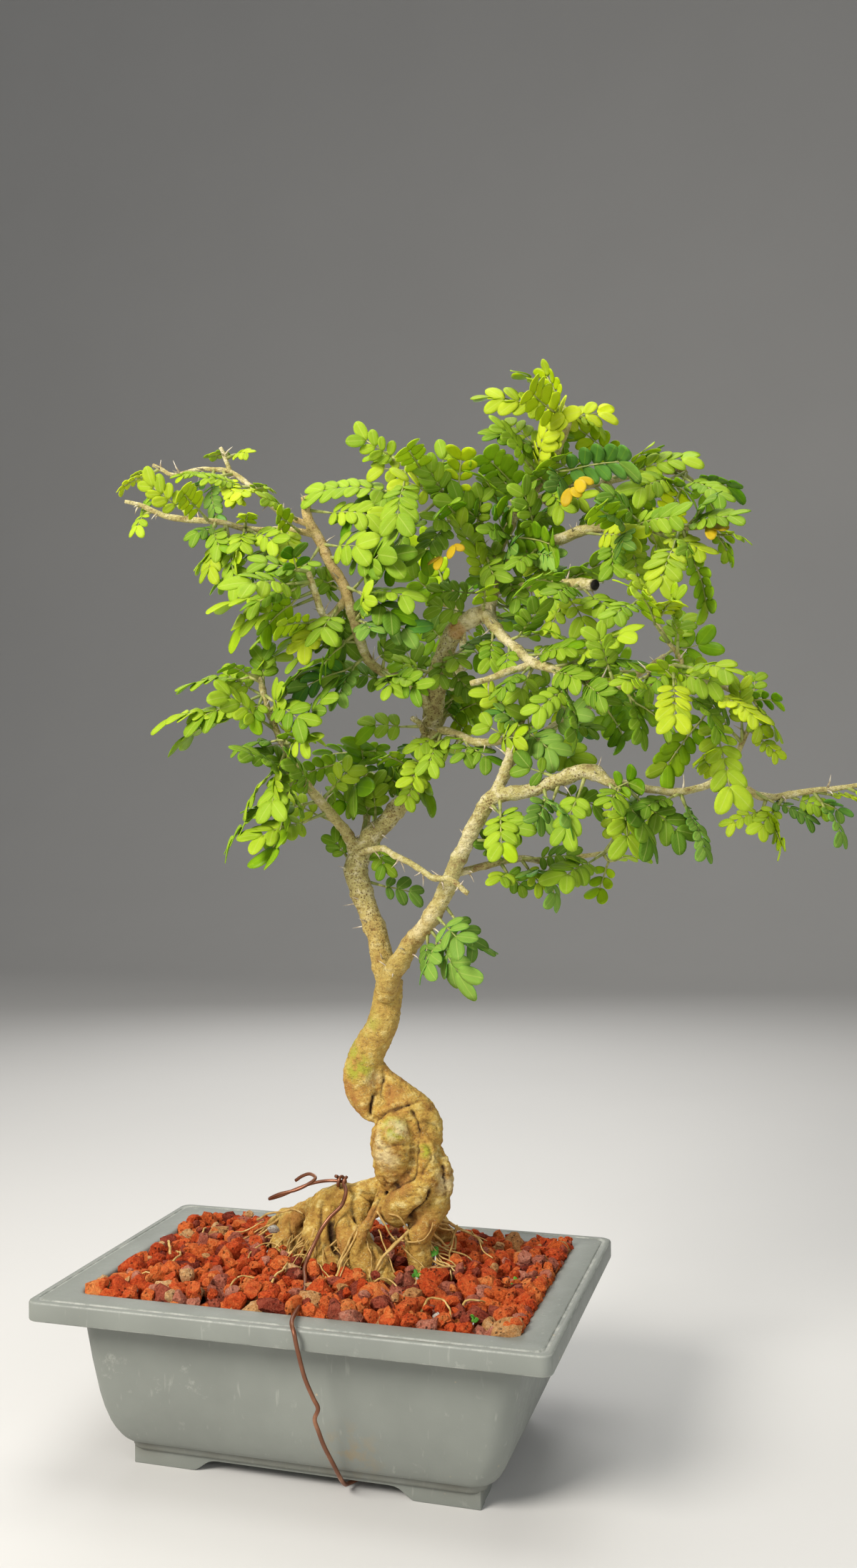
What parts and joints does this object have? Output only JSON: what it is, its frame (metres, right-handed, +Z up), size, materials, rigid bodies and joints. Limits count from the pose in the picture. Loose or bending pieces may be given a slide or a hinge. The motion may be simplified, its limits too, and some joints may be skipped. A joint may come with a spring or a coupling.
{
  "type": "potted bonsai tree",
  "caption": "Thorny bonsai tree with a braided trunk, exposed roots and fine paired leaflets, standing in a rectangular plastic training pot of red lava stones, held by a loop of copper wire.",
  "frame": {"origin": "under the middle of the bounding box, on the plane that the pot's feet rest on", "axes": "+X along the pot to the right, +Y away from the front of the pot, +Z up"},
  "size_m": [0.3172, 0.1594, 0.4343],
  "materials": {
    "pot_plastic": "matte, scuffed",
    "lava_rock": "rough, pitted",
    "bark": "rough bark",
    "copper": "dull, brown patina",
    "leaf_lime": "satin leaf",
    "leaf_yellow_green": "satin leaf",
    "leaf_green": "satin leaf",
    "leaf_deep_green": "satin leaf"
  },
  "bodies": {
    "root": {"pot": "pot_plastic", "lava_rock_soil": "lava_rock", "trunk_and_branches": "bark", "copper_wire": "copper", "spray_01": "leaf_lime", "spray_02": "leaf_yellow_green", "spray_03": "leaf_deep_green", "spray_04": "leaf_lime", "spray_05": "leaf_lime", "spray_06": "leaf_yellow_green", "spray_07": "leaf_green", "spray_08": "leaf_yellow_green", "spray_09": "leaf_yellow_green", "spray_10": "leaf_yellow_green", "spray_11": "leaf_yellow_green", "spray_12": "leaf_green", "spray_13": "leaf_yellow_green", "spray_14": "leaf_green", "spray_15": "leaf_green", "spray_16": "leaf_green", "spray_17": "leaf_deep_green", "spray_18": "leaf_green", "spray_19": "leaf_green", "spray_20": "leaf_green", "spray_21": "leaf_deep_green", "spray_22": "leaf_yellow_green", "spray_23": "leaf_green", "spray_24": "leaf_green", "spray_25": "leaf_lime", "spray_26": "leaf_lime", "spray_27": "leaf_deep_green", "spray_28": "leaf_green", "spray_29": "leaf_yellow_green", "spray_30": "leaf_green", "spray_31": "leaf_yellow_green", "spray_32": "leaf_green", "spray_33": "leaf_yellow_green", "spray_34": "leaf_lime", "spray_35": "leaf_green", "spray_36": "leaf_yellow_green", "spray_37": "leaf_green", "spray_38": "leaf_green", "spray_39": "leaf_yellow_green", "spray_40": "leaf_lime", "spray_41": "leaf_yellow_green", "spray_42": "leaf_deep_green", "spray_43": "leaf_green", "spray_44": "leaf_deep_green", "spray_45": "leaf_lime", "spray_46": "leaf_deep_green", "spray_47": "leaf_yellow_green", "spray_48": "leaf_deep_green", "spray_49": "leaf_yellow_green", "spray_50": "leaf_deep_green", "spray_51": "leaf_green"}
  },
  "joints": []
}
